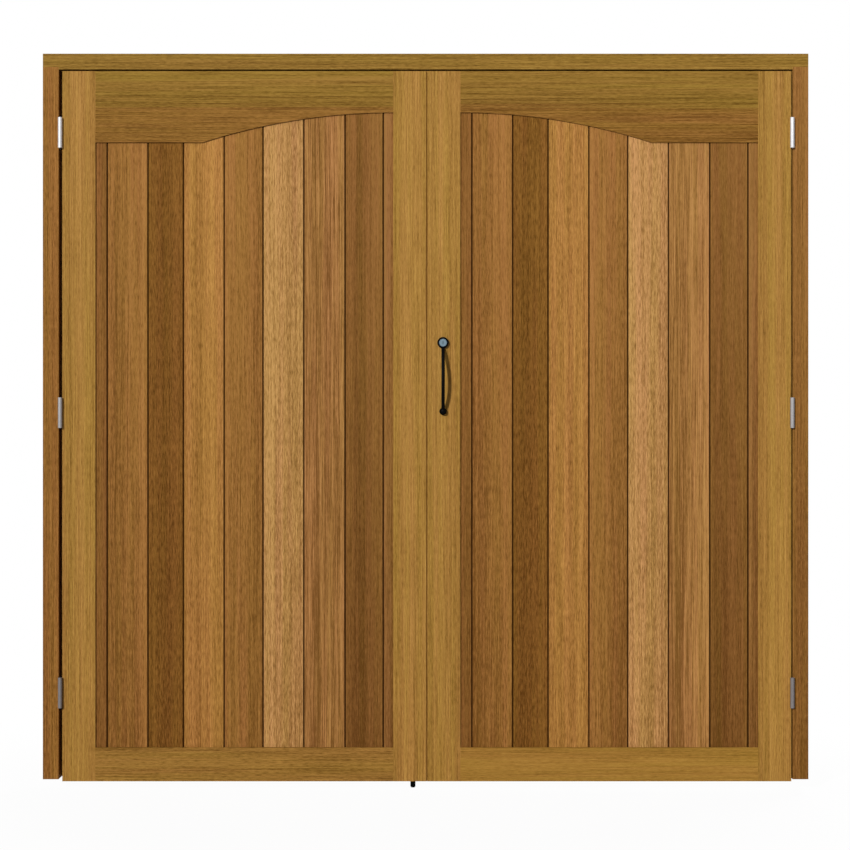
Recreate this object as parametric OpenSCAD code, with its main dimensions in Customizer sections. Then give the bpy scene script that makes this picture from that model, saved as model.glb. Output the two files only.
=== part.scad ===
// Pair of side-hung garage doors in a rebated timber frame.
// Each leaf is framed, ledged and braced, with an arched top rail and upright matchboards.
// The front faces lie on y = 0 and the inside of the garage is towards +y.
// z = 0 is the foot of the jambs and x = 0 is the middle of the frame.

/* [Leaves] */
// Width of one leaf at its front face
leaf_w = 1066.5; // [900:0.5:1300]
// Height of one leaf
leaf_h = 2081; // [1850:1:2400]
// Thickness of stiles and rails
leaf_t = 55; // [50:1:70]
// Width of the upright stiles
stile_w = 97; // [90:1:130]
// Height of the bottom rail
bottom_rail_h = 99; // [80:1:200]
// Height of the top rail beside the hinge stile
top_rail_h = 209; // [180:1:280]
// Rise of the arch above the straight part of the top rail
arch_rise = 88; // [50:1:110]
// Length of that straight part from the hinge stile
arch_flat = 313; // [200:1:420]
// Height of the middle ledge
ledge_h = 145; // [100:1:200]
// Height of the ledge's middle above the foot of the leaf
ledge_mid = 985; // [850:1:1100]
// Width of the diagonal braces
brace_w = 95; // [70:1:120]

/* [Matchboards] */
// Thickness of the boards
board_t = 20; // [16:1:24]
// Distance from the stile faces back to the board faces
panel_recess = 5; // [3:0.5:10]
// Width of the chamfer on each board edge
v_cut = 3.2; // [1.5:0.1:5]
// Length of the tongue between two boards
board_tongue = 6; // [4:0.5:9]
// Thickness of the tongue between two boards
board_tongue_t = 6; // [4:0.5:8]
// Length of the tongue from the boards into stiles and rails
panel_tongue = 12; // [8:1:16]
// Thickness of that tongue
panel_tongue_t = 10; // [8:0.5:14]
// Free space at the bottom of each groove
groove_clear = 1; // [0.5:0.1:2]

/* [Clear gaps] */
// Gap between left jamb and left leaf
left_gap = 11; // [6:0.5:12]
// Gap between right jamb and right leaf
right_gap = 4; // [4:0.5:10]
// Gap between the two leaves at their front faces
meeting_gap = 3; // [2.5:0.1:6]
// Gap between head and leaves
top_gap = 5; // [3:0.5:8]
// Distance that the leaves hang below the jamb feet
leaf_drop = 6; // [0:0.5:12]
// Gap between the backs of the leaves and the stops
stop_gap = 2; // [1:0.5:4]

/* [Frame] */
// Width of the head and jambs seen from the front
frame_face = 46; // [38:1:70]
// Depth of the frame from front to back
frame_depth = 98; // [90:1:140]
// Distance that the stops stand out from the rebates
frame_stop = 12; // [12:1:20]
// Depth of the housings that take the jambs into the head
housing = 7; // [4:1:12]
// Diameter of the holes for the frame fixings
fixing_d = 10; // [6:0.5:14]
// Height of the lowest fixing hole
fixing_low = 250; // [150:1:350]
// Distance between the two holes of one fixing pair
fixing_pitch = 500; // [350:1:600]
// Distance between the lower and the upper fixing pair
fixing_rise = 1100; // [800:1:1200]

/* [Hinges] */
// Length of the hinge knuckle
hinge_len = 89; // [75:1:125]
// Width of one hinge flap
flap_w = 38; // [30:1:45]
// Thickness of one hinge flap
flap_t = 2.5; // [2:0.1:3.5]
// Outer diameter of the knuckle
knuckle_d = 12.4; // [10:0.1:14]
// Diameter of the hinge pin
pin_d = 6; // [5:0.1:7]
// Space between the two flaps of a closed hinge, at least
closed_gap = 1; // [0.6:0.1:2]
// Distance from the top of the leaf to the middle of the top hinge
hinge_from_top = 181; // [150:1:300]
// Distance from the foot of the leaf to the middle of the bottom hinge
hinge_from_foot = 260; // [180:1:320]

/* [Pull handle and lock] */
// Distance from the meeting edge to the lock's axis
lock_inset = 46; // [40:1:50]
// Height of the lock above the foot of the leaf
lock_h = 1285; // [1150:1:1400]
// Outer diameter of the ring round the lock
ring_d = 33; // [31:0.5:38]
// Diameter of the cylinder's face
cylinder_d = 23.5; // [23:0.5:26]
// Distance from the lock's axis down to the foot of the handle
handle_drop = 201; // [160:1:240]
// Distance from the leaf to the middle of the handle's bar
handle_reach = 38; // [32:1:50]
// Diameter of the handle's bar
handle_d = 10; // [8:0.5:12]
// Diameter of the handle's round foot
foot_d = 21.5; // [18:0.5:26]

/* [Bolts] */
// Diameter of the bolt rods
bolt_d = 16; // [14:0.5:18]
// Diameter of the turned nose of the bottom bolt
nose_d = 15; // [12:0.5:15.5]
// Length of the nose below the leaf
nose_len = 30; // [24:1:45]
// Distance from the meeting edge to the axis of the rods
bolt_inset = 39.6; // [34:0.2:44]
// Length of the rods above the nose
bolt_len = 420; // [380:1:500]

/* [Hidden] */
$fn = 64;
arc_fn = 240;
part_boards = [34, 119.5, 104, 119.5, 114, 119.5, 121, 112, 29];
timber = [0.65, 0.48, 0.25];
panel_timber = [0.56, 0.39, 0.19];
steel = [0.75, 0.76, 0.78];
black_iron = [0.07, 0.07, 0.08];
rubber = [0.2, 0.12, 0.06];

// Frame and leaf positions
frame_w = 2 * (frame_face + leaf_w) + left_gap + meeting_gap + right_gap;
frame_h = leaf_h - leaf_drop + top_gap + frame_face;
rebate_y = leaf_t + stop_gap;
jamb_in = frame_w / 2 - frame_face;
left_x = -jamb_in + left_gap;
right_x = jamb_in - right_gap;
fixing_y = (rebate_y + frame_depth) / 2;

// Panel, seen from the hinge edge of a leaf
panel_x0 = stile_w;
panel_x1 = leaf_w - stile_w;
panel_w = panel_x1 - panel_x0;
flat_z = leaf_h - top_rail_h;
crown_z = flat_z + arch_rise;
arch_run = panel_w - arch_flat;
arch_r = (arch_run * arch_run + arch_rise * arch_rise) / (2 * arch_rise);
arch_over = 25;
board_y0 = panel_recess;
board_y1 = panel_recess + board_t;
edge_y0 = board_y0 + (board_t - board_tongue_t) / 2;
edge_y1 = edge_y0 + board_tongue_t;
tongue_y0 = board_y0 + (board_t - panel_tongue_t) / 2;
tongue_y1 = tongue_y0 + panel_tongue_t;
parts_sum = board_sum(part_boards, len(part_boards));
last_board = len(part_boards) - 1;

// Mortises and tenons
tenon_t = 18;
tenon_len = 60;
tenon_y = (leaf_t - tenon_t) / 2;
tenon_shoulder = 20;
ledge_tenon_y = board_y1 + 6;
ledge_tenon_t = 14;
ledge_z0 = ledge_mid - ledge_h / 2;
ledge_z1 = ledge_mid + ledge_h / 2;

// Hinges
knuckles = 5;
knuckle_clear = 0.2;
pin_fit = 0.05;
knuckle_off = 0.4;
axis_y = -(knuckle_d / 2 + knuckle_off);
flap_y = 0.2;
seg = hinge_len / knuckles;
hinge_top = leaf_h - hinge_from_top;
hinge_mid = (hinge_top + hinge_from_foot) / 2;
hinge_mids = [hinge_top, hinge_mid, hinge_from_foot];

// The meeting edges lean back so that each leaf can swing past the other
edge_spare = 0.8;
edge_bevel = (leaf_t - axis_y) * (leaf_t - axis_y) / (2 * leaf_w) + edge_spare;
seal_y = 4;
seal_t = 3;
seal_kerf = 6;
seal_clear = 0.5;

// Lock
ring_t = 8;
head_t = 7.5;
face_rim = 1.2;
ring_fit = 0.15;
barrel_d = 20;
barrel_len = 48;
barrel_fit = 0.5;
plug_d = 12;
plug_len = 40;
plug_fit = 0.05;
tail_d = 5;
tail_end = 57;
key_w = 2;
key_h = 8.5;
key_depth = 24;
case_edge = edge_bevel + 1;
case_len = 86;
case_t = 26;
case_h = 68;
case_wall = 2.5;
case_round = 5;
latch_y = 3;
latch_t = 10;
latch_h = 18;
latch_fit = 0.25;
latch_tail = 26;
latch_slope = 9;
crank_r = 14;
crank_turn = 45;
crank_d = 6;
crank_play = 0.6;
crank_throw = crank_r * sin(crank_turn);
crank_low = crank_r * cos(crank_turn);
crank_disc_t = 3;
disc_gap = 1.5;
yoke_w = 17;
yoke_rim = 3;
spindle_d = 10;
spindle_fit = 0.08;
knob_d = 34;
knob_t = 17;
knob_off = 1.5;
knob_neck_d = 15;
knob_neck = 4;
knob_flare = 4;
knob_rim = 2;
knob_dish = 1.5;
keep_len = 26;
keep_mouth = 20;
lock_x = leaf_w - lock_inset;

// Pull handle, as an arc from the ring to the round foot
bow_end_y = -5.8;
bow_top = ring_d / 2 - 1.5;
bow_half = (handle_drop - bow_top) / 2;
bow_depth = handle_reach + bow_end_y;
bow_r = (bow_half * bow_half + bow_depth * bow_depth) / (2 * bow_depth);
bow_turn = asin(bow_half / bow_r);
foot_y = -7;

// Bolts
bolt_stand = 18;
bolt_y = leaf_t + bolt_stand;
bolt_x = leaf_w - bolt_inset;
bolt_fit = 0.15;
nose_round = 3;
nose_small = 4;
guide_w = 44;
guide_t = 3;
lug_h = 22;
lug_wall = 4;
plate_round = 6;
guide_z0 = 20;
guide_len = 330;
lug_low = 20;
lug_gap = 240;
collar_d = 22;
collar_h = 6;
collar_clear = 0.2;
tail_r = 18;
tail_bar_d = 12;
tail_ball_d = 18;
tail_embed = 2;
stop_under = leaf_h + top_gap - frame_stop;
top_bolt_end = stop_under - 4;
keep_hole_d = bolt_d + 1.5;
keep_hole_h = 38;
past = 1;

// Sum of the first n board widths in a list
function board_sum(list, n) = n == 0 ? 0 : list[n - 1] + board_sum(list, n - 1);

// Place of joint n between boards, from the hinge edge of a leaf
function joint_x(list, n) = panel_x0 + panel_w * board_sum(list, n) / parts_sum;

// The same boards counted from the other side
function turned(list) = [for (i = [len(list) - 1 : -1 : 0]) list[i]];

// Distance from the hinge axis to the near face of a flap, for a given gap
function flap_in(gap) = max(closed_gap / 2, gap / 2 - flap_t);

// Depth of the recess that takes a flap into the timber
function let_in(gap) = flap_in(gap) + flap_t - gap / 2;

// Outline of a board edge with a groove, from back to front, or a plain edge
function near_edge(x, joined) = joined
  ? [
      [x, board_y1],
      [x, edge_y1],
      [x + board_tongue + groove_clear, edge_y1],
      [x + board_tongue + groove_clear, edge_y0],
      [x, edge_y0],
      [x, board_y0 + v_cut],
      [x + v_cut, board_y0]
    ]
  : [[x - panel_tongue, board_y1], [x - panel_tongue, board_y0]];

// Outline of a board edge with a tongue, from front to back, or a plain edge
function far_edge(x, joined) = joined
  ? [
      [x - v_cut, board_y0],
      [x, board_y0 + v_cut],
      [x, edge_y0],
      [x + board_tongue, edge_y0],
      [x + board_tongue, edge_y1],
      [x, edge_y1],
      [x, board_y1]
    ]
  : [[x + panel_tongue, board_y0], [x + panel_tongue, board_y1]];

// Places a leaf that is drawn from its hinge edge
module on_left() {
  translate([left_x, 0, -leaf_drop]) children();
}

module on_right() {
  translate([right_x, 0, -leaf_drop]) mirror([1, 0, 0]) children();
}

// Stands a flat outline in x and z up between two depths
module between(y0, y1) {
  translate([0, y1, 0]) rotate([90, 0, 0]) linear_extrude(height = y1 - y0) children();
}

// Flat plate outline with rounded corners, from its lower corner
module rounded(w, h, r) {
  translate([r, 0]) square([w - 2 * r, h]);
  translate([0, r]) square([w, h - 2 * r]);
  for (x = [r, w - r], y = [r, h - r]) translate([x, y]) circle(r = r);
}

// Panel outline under the arch, grown upwards by a given amount
module panel_shape(x0, x1, z0, grow) {
  translate([x0, z0]) square([x1 - x0, flat_z + grow - z0]);
  intersection() {
    translate([panel_x1, crown_z - arch_r]) circle(r = arch_r + grow, $fn = arc_fn);
    translate([x0, flat_z]) square([x1 - x0, arch_rise + grow + arch_over]);
  }
}

// Rebated section of the frame members, with the front face on the first axis
module frame_section() {
  square([frame_face, rebate_y]);
  translate([0, rebate_y]) square([frame_face + frame_stop, frame_depth - rebate_y]);
}

module jamb_bar() {
  translate([-frame_w / 2, 0, 0])
    linear_extrude(height = frame_h - frame_face + housing) frame_section();
}

module head() {
  color(timber) difference() {
    translate([-frame_w / 2, 0, frame_h])
      rotate([0, 90, 0]) linear_extrude(height = frame_w) frame_section();
    jamb_bar();
    mirror([1, 0, 0]) jamb_bar();
    translate([left_x + bolt_x, bolt_y, frame_h - frame_face - frame_stop - past])
      cylinder(d = keep_hole_d, h = keep_hole_h + past);
  }
}

// Left-hand jamb with the recesses for its flaps
module jamb(gap) {
  color(timber) difference() {
    jamb_bar();
    if (let_in(gap) > 0) {
      for (z = hinge_mids)
        translate([-jamb_in - let_in(gap), -past, z - leaf_drop - hinge_len / 2])
          cube([let_in(gap) + past, flap_y + flap_w + past, hinge_len]);
    }
    for (z = [0, fixing_pitch, fixing_rise, fixing_rise + fixing_pitch])
      translate([-frame_w / 2 - past, fixing_y, fixing_low + z])
        rotate([0, 90, 0]) cylinder(d = fixing_d, h = frame_face + frame_stop + 2 * past);
  }
}

// One flap with the knuckles named, axis on x = 0 and the flap towards +x
module flap(gap, own) {
  color(steel) difference() {
    union() {
      translate([flap_in(gap), flap_y, 0]) cube([flap_t, flap_w, hinge_len]);
      for (k = own) {
        low = k * seg + (k == 0 ? 0 : knuckle_clear / 2);
        high = (k + 1) * seg - (k == knuckles - 1 ? 0 : knuckle_clear / 2);
        translate([0, axis_y, low]) cylinder(d = knuckle_d, h = high - low);
        translate([flap_in(gap), axis_y, low]) cube([flap_t, flap_y - axis_y, high - low]);
      }
    }
    translate([0, axis_y, -past]) cylinder(d = pin_d + 2 * pin_fit, h = hinge_len + 2 * past);
  }
}

// Door flap and jamb flap in the place of hinge n on the left-hand leaf
module door_flap(gap, n) {
  translate([-gap / 2, 0, hinge_mids[n] - hinge_len / 2]) flap(gap, [1, 3]);
}

module jamb_flap(gap, n) {
  translate([-gap / 2, 0, hinge_mids[n] - hinge_len / 2])
    mirror([1, 0, 0]) flap(gap, [0, 2, 4]);
}

module pins(gap) {
  color(steel) for (z = hinge_mids)
    translate([-gap / 2, axis_y, z - hinge_len / 2]) cylinder(d = pin_d, h = hinge_len);
}

// Slots for the tenons of the rails and the ledge, in a stile that starts at x
module mortises(x, top_z0) {
  translate([x, tenon_y, tenon_shoulder])
    cube([tenon_len, tenon_t, bottom_rail_h - 2 * tenon_shoulder]);
  translate([x, tenon_y, top_z0 + tenon_shoulder])
    cube([tenon_len, tenon_t, leaf_h - top_z0 - 2 * tenon_shoulder]);
  translate([x, ledge_tenon_y, ledge_z0 + tenon_shoulder])
    cube([tenon_len, ledge_tenon_t, ledge_h - 2 * tenon_shoulder]);
}

module hinge_stile(gap) {
  color(timber) difference() {
    cube([stile_w, leaf_t, leaf_h]);
    translate([stile_w - panel_tongue - groove_clear, tongue_y0, bottom_rail_h])
      cube([panel_tongue + groove_clear + past, panel_tongue_t, flat_z - bottom_rail_h]);
    mortises(stile_w - tenon_len, flat_z);
    if (let_in(gap) > 0) {
      for (z = hinge_mids)
        translate([-past, -past, z - hinge_len / 2])
          cube([let_in(gap) + past, flap_y + flap_w + past, hinge_len]);
    }
  }
}

module meeting_stile() {
  color(timber) difference() {
    linear_extrude(height = leaf_h) polygon([
      [panel_x1, 0],
      [leaf_w, 0],
      [leaf_w - edge_bevel, leaf_t],
      [panel_x1, leaf_t]
    ]);
    translate([panel_x1 - past, tongue_y0, bottom_rail_h])
      cube([panel_tongue + groove_clear + past, panel_tongue_t, crown_z - bottom_rail_h]);
    mortises(panel_x1, crown_z);
    children();
  }
}

module seal_strip(more) {
  translate([leaf_w - seal_kerf, seal_y, 0])
    cube([seal_kerf + meeting_gap - seal_clear + more, seal_t, leaf_h]);
}

module meeting_seal() {
  color(rubber) seal_strip(0);
}

module lock_bore() {
  translate([lock_x, -past, lock_h]) rotate([-90, 0, 0])
    cylinder(d = barrel_d + 2 * barrel_fit, h = leaf_t + 2 * past);
}

module top_rail() {
  color(timber) union() {
    difference() {
      translate([panel_x0, 0, flat_z]) cube([panel_w, leaf_t, top_rail_h]);
      between(-past, leaf_t + past)
        translate([panel_x1, crown_z - arch_r]) circle(r = arch_r, $fn = arc_fn);
      between(tongue_y0, tongue_y1)
        panel_shape(panel_x0 - past, panel_x1 + past, bottom_rail_h, panel_tongue + groove_clear);
    }
    translate([panel_x0 - tenon_len, tenon_y, flat_z + tenon_shoulder])
      cube([tenon_len + past, tenon_t, top_rail_h - 2 * tenon_shoulder]);
    translate([panel_x1 - past, tenon_y, crown_z + tenon_shoulder])
      cube([tenon_len + past, tenon_t, leaf_h - crown_z - 2 * tenon_shoulder]);
  }
}

module bottom_rail() {
  color(timber) difference() {
    union() {
      translate([panel_x0, 0, 0]) cube([panel_w, leaf_t, bottom_rail_h]);
      translate([panel_x0 - tenon_len, tenon_y, tenon_shoulder])
        cube([panel_w + 2 * tenon_len, tenon_t, bottom_rail_h - 2 * tenon_shoulder]);
    }
    translate([panel_x0 - past, tongue_y0, bottom_rail_h - panel_tongue - groove_clear])
      cube([panel_w + 2 * past, panel_tongue_t, panel_tongue + groove_clear + past]);
  }
}

module ledge() {
  color(timber) union() {
    translate([panel_x0, board_y1, ledge_z0]) cube([panel_w, leaf_t - board_y1, ledge_h]);
    translate([panel_x0 - tenon_len, ledge_tenon_y, ledge_z0 + tenon_shoulder])
      cube([panel_w + 2 * tenon_len, ledge_tenon_t, ledge_h - 2 * tenon_shoulder]);
  }
}

// Diagonal brace that rises from the hinge side, cut to fit one bay of the leaf
module brace(z0, z1) {
  slope = atan2(z1 - z0, panel_w);
  reach = norm([panel_w, z1 - z0]);
  color(timber) between(board_y1, leaf_t) intersection() {
    panel_shape(panel_x0, panel_x1, z0, 0);
    translate([panel_x0, z0]) square([panel_w, z1 - z0]);
    translate([panel_x0, z0]) rotate(slope)
      translate([-brace_w, -brace_w / 2]) square([reach + 2 * brace_w, brace_w]);
  }
}

// Board n of a list that starts at the hinge stile
module board(list, n) {
  color(panel_timber) intersection() {
    linear_extrude(height = leaf_h) polygon(concat(
      near_edge(joint_x(list, n), n > 0),
      far_edge(joint_x(list, n + 1), n < last_board)
    ));
    union() {
      between(board_y0, board_y1) panel_shape(panel_x0, panel_x1, bottom_rail_h, 0);
      between(tongue_y0, tongue_y1)
        panel_shape(panel_x0, panel_x1, bottom_rail_h - panel_tongue, panel_tongue);
      between(tongue_y0, tongue_y1)
        panel_shape(panel_x0 - panel_tongue, panel_x1 + panel_tongue, bottom_rail_h, 0);
    }
  }
}

// Sliding rod with a curled grip, with its tip at z = 0 and a collar at a given height
module bolt_rod(length, collar_z) {
  cylinder(d = bolt_d, h = length);
  translate([0, 0, collar_z]) cylinder(d = collar_d, h = collar_h);
  translate([0, tail_r, length - tail_embed]) {
    rotate([90, 0, 90]) rotate_extrude(angle = 180) translate([tail_r, 0]) circle(d = tail_bar_d);
    translate([0, tail_r, 0]) sphere(d = tail_ball_d);
  }
}

// Back plate with two round-backed, bored lugs for a rod
module bolt_guide() {
  lug_w = bolt_d + 2 * lug_wall;
  difference() {
    union() {
      between(-bolt_stand, guide_t - bolt_stand)
        translate([-guide_w / 2, guide_z0]) rounded(guide_w, guide_len, plate_round);
      for (z = [lug_low, lug_low + lug_gap])
        translate([0, 0, guide_z0 + z]) linear_extrude(height = lug_h) {
          translate([-lug_w / 2, -bolt_stand]) square([lug_w, bolt_stand]);
          circle(d = lug_w);
        }
    }
    cylinder(d = bolt_d + 2 * bolt_fit, h = guide_z0 + guide_len + past);
  }
}

module bottom_bolt() {
  color(black_iron) translate([bolt_x, bolt_y, 0]) {
    bolt_rod(bolt_len, guide_z0 + lug_low + lug_h + collar_clear);
    translate([0, 0, nose_round - nose_len]) cylinder(d = nose_d, h = nose_len - nose_round);
    translate([0, 0, -nose_len]) cylinder(d1 = nose_d - nose_small, d2 = nose_d, h = nose_round);
  }
}

module bottom_bolt_guide() {
  color(black_iron) translate([bolt_x, bolt_y, 0]) bolt_guide();
}

module top_bolt() {
  color(black_iron) translate([bolt_x, bolt_y, top_bolt_end]) mirror([0, 0, 1])
    bolt_rod(bolt_len, guide_z0 + lug_low + lug_gap - collar_h - collar_clear);
}

module top_bolt_guide() {
  color(black_iron) translate([bolt_x, bolt_y, top_bolt_end]) mirror([0, 0, 1]) bolt_guide();
}

// Ring round the lock, bowed bar and round foot, cast as one
module pull_handle() {
  color(black_iron) translate([lock_x, 0, lock_h]) difference() {
    union() {
      rotate([90, 0, 0]) cylinder(d = ring_d, h = ring_t);
      translate([0, bow_r - handle_reach, -bow_top - bow_half])
        rotate([90, 0, 90]) rotate(180 - bow_turn)
          rotate_extrude(angle = 2 * bow_turn) translate([bow_r, 0]) circle(d = handle_d);
      difference() {
        translate([0, foot_y, -handle_drop]) rotate([90, 0, 0]) sphere(d = foot_d);
        translate([-foot_d, 0, -handle_drop - foot_d]) cube(2 * foot_d);
      }
    }
    translate([0, past, 0]) rotate([90, 0, 0])
      cylinder(d = cylinder_d + 2 * ring_fit, h = handle_reach);
  }
}

module lock_cylinder() {
  color(steel) translate([lock_x, 0, lock_h]) rotate([-90, 0, 0]) difference() {
    union() {
      translate([0, 0, -head_t])
        cylinder(d1 = cylinder_d - 2 * face_rim, d2 = cylinder_d, h = face_rim);
      translate([0, 0, face_rim - head_t]) cylinder(d = cylinder_d, h = head_t - face_rim);
      cylinder(d = barrel_d, h = barrel_len);
    }
    translate([0, 0, -head_t - past]) cylinder(d = plug_d + 2 * plug_fit, h = plug_len + past);
    cylinder(d = tail_d + 2 * barrel_fit, h = barrel_len + past);
  }
}

module key_plug() {
  color(steel) translate([lock_x, 0, lock_h]) rotate([-90, 0, 0]) difference() {
    union() {
      translate([0, 0, -head_t]) cylinder(d = plug_d, h = plug_len - plug_fit);
      cylinder(d = tail_d, h = tail_end);
    }
    translate([-key_w / 2, -key_h / 2, -head_t - past]) cube([key_w, key_h, key_depth + past]);
  }
}

// Window in the case or the keep that the latch slides through
module latch_way(x, length) {
  translate([x, latch_y - latch_fit, -latch_h / 2 - latch_fit])
    cube([length, latch_t + 2 * latch_fit, latch_h + 2 * latch_fit]);
}

module latch_case() {
  color(black_iron) translate([leaf_w - case_edge, leaf_t, lock_h]) difference() {
    between(0, case_t) translate([-case_len, -case_h / 2]) rounded(case_len, case_h, case_round);
    translate([case_wall - case_len, -past, case_wall - case_h / 2])
      cube([case_len - 2 * case_wall, case_t - case_wall + past, case_h - 2 * case_wall]);
    latch_way(-case_wall - past, case_wall + 2 * past);
    translate([lock_x - leaf_w + case_edge, 0, 0]) rotate([-90, 0, 0])
      cylinder(d = spindle_d + 2 * spindle_fit, h = case_t + past);
  }
}

// Bar with a sloped nose and a slotted yoke at its tail, which the knob's crank pin drives
module latch_bolt() {
  nose_x = lock_inset - case_edge;
  slot_w = crank_d + 2 * crank_play;
  slot_low = crank_low - crank_d / 2 - crank_play;
  slot_high = crank_r + crank_d / 2 + crank_play;
  color(steel) translate([lock_x, leaf_t + latch_y, lock_h]) difference() {
    union() {
      translate([0, 0, -latch_h / 2]) linear_extrude(height = latch_h) polygon([
        [-latch_tail, 0],
        [nose_x, 0],
        [nose_x, latch_t - latch_slope],
        [nose_x - latch_slope, latch_t],
        [-latch_tail, latch_t]
      ]);
      translate([-crank_throw - yoke_w / 2, 0, 0]) cube([yoke_w, latch_t, slot_high + yoke_rim]);
    }
    translate([-crank_throw - slot_w / 2, -past, slot_low])
      cube([slot_w, latch_t + 2 * past, slot_high - slot_low]);
  }
}

module latch_knob() {
  disc_y = latch_y + latch_t + disc_gap;
  disc_d = 2 * crank_r + crank_d + yoke_rim;
  color(steel) translate([lock_x, leaf_t, lock_h]) rotate([-90, 0, 0]) {
    translate([-crank_throw, -crank_low, latch_y])
      cylinder(d = crank_d, h = latch_t + disc_gap + crank_disc_t);
    translate([0, 0, disc_y]) cylinder(d = disc_d, h = crank_disc_t);
    translate([0, 0, disc_y]) cylinder(d = spindle_d, h = case_t + knob_off - disc_y);
    translate([0, 0, case_t + knob_off]) rotate_extrude() polygon([
      [0, 0],
      [knob_neck_d / 2, 0],
      [knob_neck_d / 2, knob_neck],
      [knob_d / 2 - knob_rim, knob_neck + knob_flare],
      [knob_d / 2, knob_neck + knob_flare + knob_rim],
      [knob_d / 2, knob_t - knob_rim],
      [knob_d / 2 - knob_rim, knob_t],
      [0, knob_t - knob_dish]
    ]);
  }
}

module latch_keep() {
  color(black_iron) translate([leaf_w - case_edge, leaf_t, lock_h]) difference() {
    between(0, case_t) translate([-keep_len, -case_h / 2]) rounded(keep_len, case_h, case_round);
    latch_way(-keep_mouth, keep_mouth + past);
  }
}

head();
jamb(left_gap);  // left_jamb
mirror([1, 0, 0]) jamb(right_gap);  // right_jamb
union() {  // hinge_pins
  on_left() pins(left_gap);
  on_right() pins(right_gap);
}
on_left() jamb_flap(left_gap, 0);  // left_top_jamb_flap
on_left() jamb_flap(left_gap, 1);  // left_middle_jamb_flap
on_left() jamb_flap(left_gap, 2);  // left_bottom_jamb_flap
on_right() jamb_flap(right_gap, 0);  // right_top_jamb_flap
on_right() jamb_flap(right_gap, 1);  // right_middle_jamb_flap
on_right() jamb_flap(right_gap, 2);  // right_bottom_jamb_flap
on_left() door_flap(left_gap, 0);  // left_top_door_flap
on_left() door_flap(left_gap, 1);  // left_middle_door_flap
on_left() door_flap(left_gap, 2);  // left_bottom_door_flap
on_right() door_flap(right_gap, 0);  // right_top_door_flap
on_right() door_flap(right_gap, 1);  // right_middle_door_flap
on_right() door_flap(right_gap, 2);  // right_bottom_door_flap

on_left() hinge_stile(left_gap);  // left_hinge_stile
on_left() meeting_stile() seal_strip(0);  // left_meeting_stile
on_left() top_rail();  // left_top_rail
on_left() bottom_rail();  // left_bottom_rail
on_left() ledge();  // left_ledge
on_left() brace(ledge_z1, crown_z);  // left_upper_brace
on_left() brace(bottom_rail_h, ledge_z0);  // left_lower_brace
on_left() board(part_boards, 0);  // left_board_1
on_left() board(part_boards, 1);  // left_board_2
on_left() board(part_boards, 2);  // left_board_3
on_left() board(part_boards, 3);  // left_board_4
on_left() board(part_boards, 4);  // left_board_5
on_left() board(part_boards, 5);  // left_board_6
on_left() board(part_boards, 6);  // left_board_7
on_left() board(part_boards, 7);  // left_board_8
on_left() board(part_boards, 8);  // left_board_9

on_right() hinge_stile(right_gap);  // right_hinge_stile
on_right() meeting_stile() lock_bore();  // right_meeting_stile
on_right() top_rail();  // right_top_rail
on_right() bottom_rail();  // right_bottom_rail
on_right() ledge();  // right_ledge
on_right() brace(ledge_z1, crown_z);  // right_upper_brace
on_right() brace(bottom_rail_h, ledge_z0);  // right_lower_brace
on_right() board(turned(part_boards), 8);  // right_board_1
on_right() board(turned(part_boards), 7);  // right_board_2
on_right() board(turned(part_boards), 6);  // right_board_3
on_right() board(turned(part_boards), 5);  // right_board_4
on_right() board(turned(part_boards), 4);  // right_board_5
on_right() board(turned(part_boards), 3);  // right_board_6
on_right() board(turned(part_boards), 2);  // right_board_7
on_right() board(turned(part_boards), 1);  // right_board_8
on_right() board(turned(part_boards), 0);  // right_board_9

on_left() meeting_seal();
on_left() bottom_bolt();
on_left() bottom_bolt_guide();
on_left() top_bolt();
on_left() top_bolt_guide();
on_left() latch_keep();
on_right() pull_handle();
on_right() lock_cylinder();
on_right() key_plug();
on_right() latch_case();
on_right() latch_bolt();
on_right() latch_knob();
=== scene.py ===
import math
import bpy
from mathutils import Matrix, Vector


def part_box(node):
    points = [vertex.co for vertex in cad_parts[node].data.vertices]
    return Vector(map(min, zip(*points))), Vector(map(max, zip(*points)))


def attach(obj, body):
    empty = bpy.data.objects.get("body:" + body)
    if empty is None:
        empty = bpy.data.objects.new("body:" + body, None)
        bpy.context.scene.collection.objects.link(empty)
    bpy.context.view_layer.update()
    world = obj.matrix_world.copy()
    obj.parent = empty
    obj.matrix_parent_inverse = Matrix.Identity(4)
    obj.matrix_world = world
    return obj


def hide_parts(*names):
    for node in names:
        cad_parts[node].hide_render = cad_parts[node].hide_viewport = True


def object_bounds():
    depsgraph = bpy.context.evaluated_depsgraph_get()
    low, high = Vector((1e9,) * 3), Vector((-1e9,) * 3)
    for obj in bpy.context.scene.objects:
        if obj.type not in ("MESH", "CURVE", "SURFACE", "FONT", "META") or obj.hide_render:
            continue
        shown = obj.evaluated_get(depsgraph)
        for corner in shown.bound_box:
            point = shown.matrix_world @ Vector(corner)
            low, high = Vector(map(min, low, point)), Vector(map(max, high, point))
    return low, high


bl_info = {
    "name": "Timber Garage Doors",
    "version": (1, 0, 0),
    "blender": (4, 5, 0),
    "location": "View3D > Sidebar > Garage Doors",
    "description": "Finishes, screws and studio for a pair of side-hung timber garage doors",
    "category": "Object",
}

from typing import NamedTuple

import bpy
from mathutils import Matrix, Vector

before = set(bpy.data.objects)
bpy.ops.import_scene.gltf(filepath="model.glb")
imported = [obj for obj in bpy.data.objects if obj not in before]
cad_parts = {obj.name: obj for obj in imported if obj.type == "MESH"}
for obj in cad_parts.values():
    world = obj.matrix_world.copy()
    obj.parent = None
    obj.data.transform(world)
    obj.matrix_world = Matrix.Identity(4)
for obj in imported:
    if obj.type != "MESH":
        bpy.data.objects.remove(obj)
CAD_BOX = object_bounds()
SIDES = ("left", "right")
HINGES = ("top", "middle", "bottom")
BOARDS = range(1, 10)
WHITE = (1.0, 1.0, 1.0, 1.0)

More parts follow.
